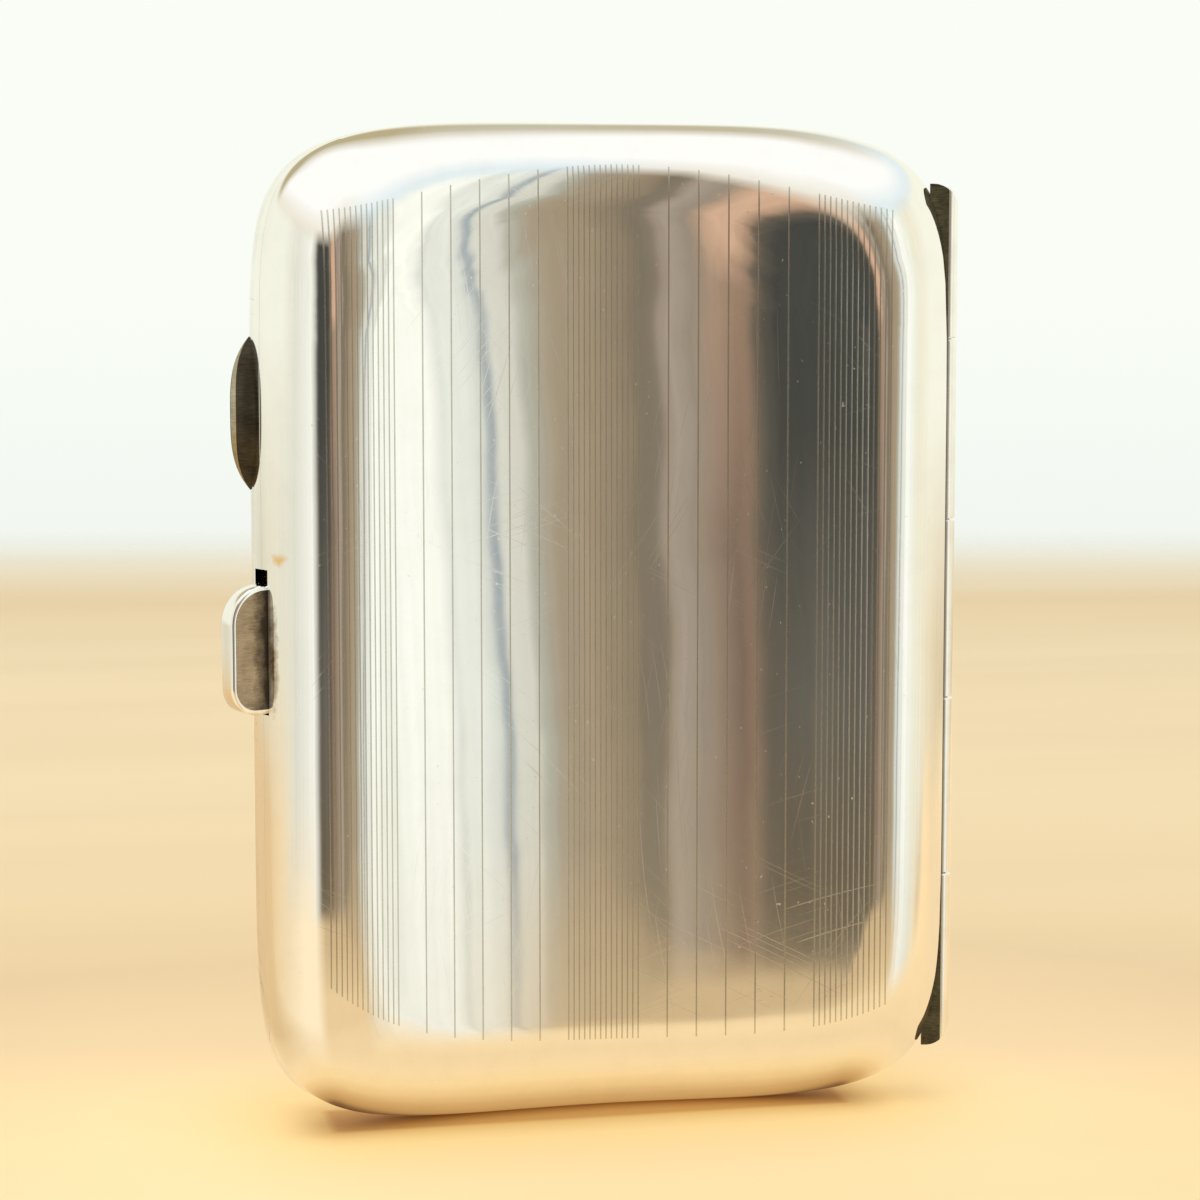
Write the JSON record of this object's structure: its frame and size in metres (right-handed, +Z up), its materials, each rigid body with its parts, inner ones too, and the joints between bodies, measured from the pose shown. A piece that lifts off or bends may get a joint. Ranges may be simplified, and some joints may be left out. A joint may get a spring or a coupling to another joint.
{
  "type": "cigarette case",
  "caption": "Curved pocket cigarette case with two hinged covers, a sliding catch, elastic straps and engine-turned bands of lines.",
  "frame": {"origin": "middle of the foot of the closed case's box, where it stands on its short edge", "axes": "+Z up as the case stands, +X across to the hinge, +Y to the back; the hollow front face looks along -Y"},
  "size_m": [0.063, 0.0134, 0.0845],
  "materials": {
    "silver": "polished",
    "gilt": "polished",
    "elastic": "woven",
    "steel": "satin"
  },
  "bodies": {
    "case_back": {"back_cover": "silver", "rim_bezel": "gilt", "back_bearer": "silver", "knuckle_bottom": "silver", "knuckle_middle": "silver", "knuckle_top": "silver", "hinge_pin": "steel", "thumb_boss": "silver", "upper_guide": "gilt", "lower_guide": "gilt", "spring_stop": "gilt", "catch_spring": "steel"},
    "case_front": {"front_cover": "silver", "front_bearer": "silver", "knuckle_lower": "silver", "knuckle_upper": "silver", "upper_keeper": "gilt", "lower_keeper": "gilt", "upper_strap": "elastic", "lower_strap": "elastic", "upper_strap_loops": "gilt", "lower_strap_loops": "gilt"},
    "catch": {"slide_bar": "gilt", "thumb_piece": "silver", "thumb_rivets": "silver"}
  },
  "joints": [
    {"name": "cover_hinge", "type": "hinge", "parent": "case_back", "child": "case_front", "pos_m": [0.03058, -0.00377, 0], "axis": [0, 0, 1], "range_deg": [0, 150]},
    {"name": "catch_slide", "type": "slide", "parent": "case_back", "child": "catch", "axis": [0, 0, 1], "range_m": [0, 0.0011], "stiffness_N_per_m": 400, "springref_m": -0.001, "deforming": ["catch_spring"]}
  ]
}
